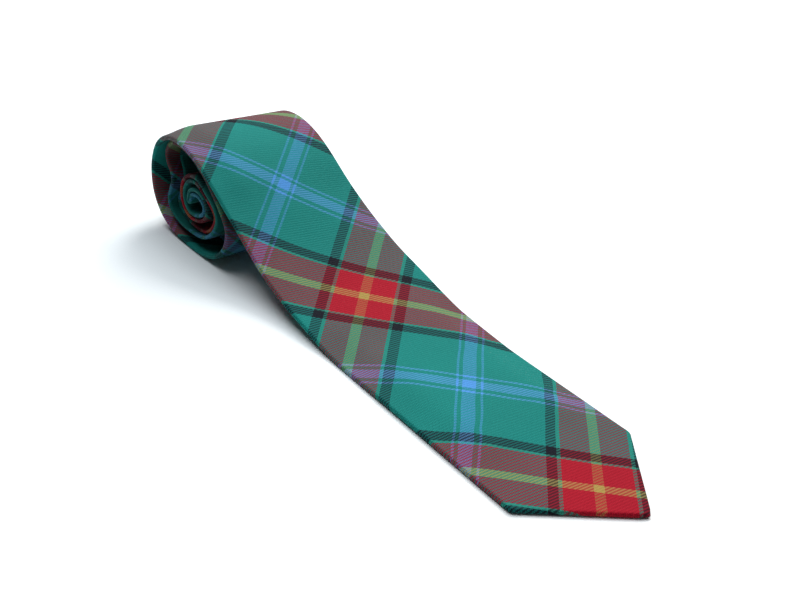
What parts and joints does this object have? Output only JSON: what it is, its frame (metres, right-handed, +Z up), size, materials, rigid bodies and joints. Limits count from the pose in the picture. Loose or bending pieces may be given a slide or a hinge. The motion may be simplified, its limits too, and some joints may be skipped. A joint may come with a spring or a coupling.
{
  "type": "necktie",
  "caption": "Tartan necktie folded in half and rolled up from the fold, with the front blade's pointed end laid out flat on the table.",
  "frame": {"origin": "on the table, under the middle of the whole rolled tie's box", "axes": "+Y runs along the tie from the blade's point to the roll, +X across it to the right seen from the point, +Z up from the table"},
  "size_m": [0.0867, 0.3186, 0.0608],
  "materials": {
    "tartan_cloth": "soft twill, bias-cut tartan in teal green, red, maroon, dark navy, gold and light blue",
    "interlining": "brushed off-white wool canvas",
    "tipping_satin": "smooth dark satin lining",
    "sewing_thread": "matt dark green thread",
    "label_ribbon": "plain woven ribbon, blank",
    "care_ribbon": "plain white printed-ribbon cloth, blank"
  },
  "bodies": {
    "roll": {"front_panel_cloth": "tartan_cloth", "neck_cloth": "tartan_cloth", "tail_cloth": "tartan_cloth", "front_piecing_seam": "sewing_thread", "tail_piecing_seam": "sewing_thread", "front_interlining": "interlining", "tail_interlining": "interlining", "tail_tipping": "tipping_satin", "tail_bar_tack": "sewing_thread", "tail_hem_stitches": "sewing_thread", "front_slip_stitch": "sewing_thread", "tail_slip_stitch": "sewing_thread", "keeper_bar_tacks": "sewing_thread", "maker_label": "label_ribbon", "care_label": "care_ribbon"},
    "blade": {"blade_cloth": "tartan_cloth", "blade_interlining": "interlining", "blade_tipping": "tipping_satin", "blade_bar_tack": "sewing_thread", "blade_slip_stitch": "sewing_thread"},
    "blade_point": {"blade_point_cloth": "tartan_cloth", "blade_point_interlining": "interlining", "blade_point_tipping": "tipping_satin", "point_hem_stitches": "sewing_thread"},
    "keeper": {"keeper_loop": "tartan_cloth"}
  },
  "joints": [
    {"name": "blade_lift", "type": "hinge", "parent": "roll", "child": "blade", "pos_m": [0.001, -0.01751, 0.00668], "axis": [-0.9994, 0.0019, -0.0347], "range_deg": [0, 75]},
    {"name": "point_lift", "type": "hinge", "parent": "blade", "child": "blade_point", "pos_m": [0.001, -0.10547, 0.00383], "axis": [-1, 0, 0], "range_deg": [0, 90]},
    {"name": "keeper_slack", "type": "slide", "parent": "roll", "child": "keeper", "axis": [0, 0.2969, -0.9549], "range_m": [0, 0.003]}
  ]
}
